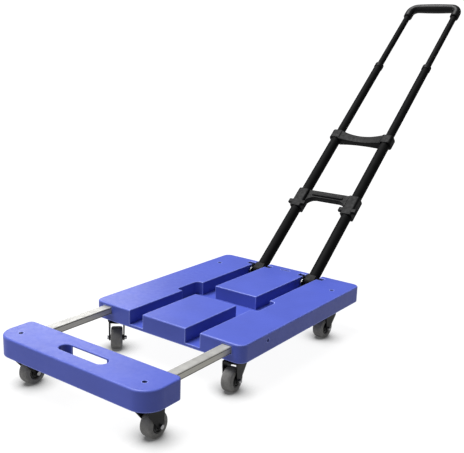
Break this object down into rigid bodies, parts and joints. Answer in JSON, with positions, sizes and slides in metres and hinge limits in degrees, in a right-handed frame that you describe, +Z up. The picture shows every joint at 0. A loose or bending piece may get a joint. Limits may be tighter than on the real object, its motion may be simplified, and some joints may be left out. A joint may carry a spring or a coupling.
{
  "type": "folding platform cart",
  "caption": "Low folding platform cart: ribbed moulded deck, sliding front bar on two rails, swivel casters underneath and a telescopic handle that folds into the deck.",
  "frame": {"origin": "on the floor, below the centre of the whole cart's bounding box with the handle out and leaned back", "axes": "+X across the cart to the right, +Y from the front bar toward the handle, +Z up"},
  "size_m": [0.4, 1.577, 0.8095],
  "materials": {
    "blue_plastic": "fine texture",
    "black_plastic": "moulded",
    "grip_plastic": "soft satin",
    "black_tube": "black coated, satin",
    "black_steel": "black coated",
    "rail_aluminium": "natural anodised",
    "zinc_steel": "zinc plated",
    "chrome": "bright plated",
    "grey_tread": "smooth"
  },
  "bodies": {
    "deck": {"deck_top": "blue_plastic", "rail_guides": "black_plastic", "rail_stop_screws": "zinc_steel", "deck_screws": "black_steel", "deck_caster_screws": "zinc_steel", "pivot_pins": "zinc_steel", "pivot_blocks": "black_plastic", "pivot_brackets": "zinc_steel", "caster_front_left_plate": "black_steel", "caster_front_right_plate": "black_steel", "caster_rear_left_plate": "black_steel", "caster_rear_right_plate": "black_steel"},
    "front_bar": {"front_bar": "blue_plastic", "rail_left": "rail_aluminium", "rail_right": "rail_aluminium", "rail_plugs": "black_plastic", "bar_screws": "black_steel", "bar_caster_screws": "zinc_steel", "caster_bar_left_plate": "black_steel", "caster_bar_right_plate": "black_steel"},
    "handle_frame": {"outer_tube_left": "black_tube", "outer_tube_right": "black_tube", "pivot_end_caps": "black_plastic", "lower_bracket": "black_plastic", "lower_bracket_screws": "zinc_steel", "mid_bracket": "black_plastic", "mid_bracket_screws": "zinc_steel"},
    "middle_stage": {"middle_tube_left": "black_tube", "middle_tube_right": "black_tube", "middle_tube_bushings": "black_plastic", "middle_tube_collars": "black_plastic"},
    "upper_stage": {"upper_tube_left": "black_tube", "upper_tube_right": "black_tube", "upper_tube_bushings": "black_plastic", "grip": "grip_plastic", "grip_screws": "zinc_steel"},
    "swivel_bar_left": {"caster_bar_left_fork": "black_steel", "caster_bar_left_axle": "chrome"},
    "wheel_bar_left": {"caster_bar_left_tread": "grey_tread", "caster_bar_left_hub": "black_plastic"},
    "swivel_bar_right": {"caster_bar_right_fork": "black_steel", "caster_bar_right_axle": "chrome"},
    "wheel_bar_right": {"caster_bar_right_tread": "grey_tread", "caster_bar_right_hub": "black_plastic"},
    "swivel_front_left": {"caster_front_left_fork": "black_steel", "caster_front_left_axle": "chrome"},
    "wheel_front_left": {"caster_front_left_tread": "grey_tread", "caster_front_left_hub": "black_plastic"},
    "swivel_front_right": {"caster_front_right_fork": "black_steel", "caster_front_right_axle": "chrome"},
    "wheel_front_right": {"caster_front_right_tread": "grey_tread", "caster_front_right_hub": "black_plastic"},
    "swivel_rear_left": {"caster_rear_left_fork": "black_steel", "caster_rear_left_axle": "chrome"},
    "wheel_rear_left": {"caster_rear_left_tread": "grey_tread", "caster_rear_left_hub": "black_plastic"},
    "swivel_rear_right": {"caster_rear_right_fork": "black_steel", "caster_rear_right_axle": "chrome"},
    "wheel_rear_right": {"caster_rear_right_tread": "grey_tread", "caster_rear_right_hub": "black_plastic"}
  },
  "joints": [
    {"name": "bar_slide", "type": "slide", "parent": "deck", "child": "front_bar", "axis": [0, 1, 0], "range_m": [0, 0.045]},
    {"name": "handle_fold", "type": "hinge", "parent": "deck", "child": "handle_frame", "pos_m": [0, -0.06109, 0.0943], "axis": [1, 0, 0], "range_deg": [0, 140]},
    {"name": "middle_slide", "type": "slide", "parent": "handle_frame", "child": "middle_stage", "axis": [0, -0.766, -0.6428], "range_m": [0, 0.285]},
    {"name": "upper_slide", "type": "slide", "parent": "middle_stage", "child": "upper_stage", "axis": [0, -0.766, -0.6428], "range_m": [0, 0.232]},
    {"name": "bar_left_swivel", "type": "hinge", "parent": "front_bar", "child": "swivel_bar_left", "pos_m": [-0.162, -0.73949, 0.065], "axis": [0, 0, 1], "continuous": true},
    {"name": "bar_left_spin", "type": "hinge", "parent": "swivel_bar_left", "child": "wheel_bar_left", "pos_m": [-0.162, -0.73149, 0.025], "axis": [-1, 0, 0], "continuous": true},
    {"name": "bar_right_swivel", "type": "hinge", "parent": "front_bar", "child": "swivel_bar_right", "pos_m": [0.162, -0.73949, 0.065], "axis": [0, 0, 1], "continuous": true},
    {"name": "bar_right_spin", "type": "hinge", "parent": "swivel_bar_right", "child": "wheel_bar_right", "pos_m": [0.162, -0.73149, 0.025], "axis": [-1, 0, 0], "continuous": true},
    {"name": "front_left_swivel", "type": "hinge", "parent": "deck", "child": "swivel_front_left", "pos_m": [-0.162, -0.49749, 0.065], "axis": [0, 0, 1], "continuous": true},
    {"name": "front_left_spin", "type": "hinge", "parent": "swivel_front_left", "child": "wheel_front_left", "pos_m": [-0.15665, -0.50344, 0.025], "axis": [0.7431, 0.6691, 0], "continuous": true},
    {"name": "front_right_swivel", "type": "hinge", "parent": "deck", "child": "swivel_front_right", "pos_m": [0.162, -0.49749, 0.065], "axis": [0, 0, 1], "continuous": true},
    {"name": "front_right_spin", "type": "hinge", "parent": "swivel_front_right", "child": "wheel_front_right", "pos_m": [0.16284, -0.50545, 0.025], "axis": [0.9945, 0.1045, 0], "continuous": true},
    {"name": "rear_left_swivel", "type": "hinge", "parent": "deck", "child": "swivel_rear_left", "pos_m": [-0.162, -0.13549, 0.065], "axis": [0, 0, 1], "continuous": true},
    {"name": "rear_left_spin", "type": "hinge", "parent": "swivel_rear_left", "child": "wheel_rear_left", "pos_m": [-0.162, -0.14349, 0.025], "axis": [1, 0, 0], "continuous": true},
    {"name": "rear_right_swivel", "type": "hinge", "parent": "deck", "child": "swivel_rear_right", "pos_m": [0.162, -0.13549, 0.065], "axis": [0, 0, 1], "continuous": true},
    {"name": "rear_right_spin", "type": "hinge", "parent": "swivel_rear_right", "child": "wheel_rear_right", "pos_m": [0.16144, -0.14347, 0.025], "axis": [0.9976, -0.0698, 0], "continuous": true}
  ],
  "couplings": [
    {"joint": "middle_slide", "follows": "handle_fold", "m_per_rad": 0.11663},
    {"joint": "upper_slide", "follows": "handle_fold", "m_per_rad": 0.09494}
  ]
}
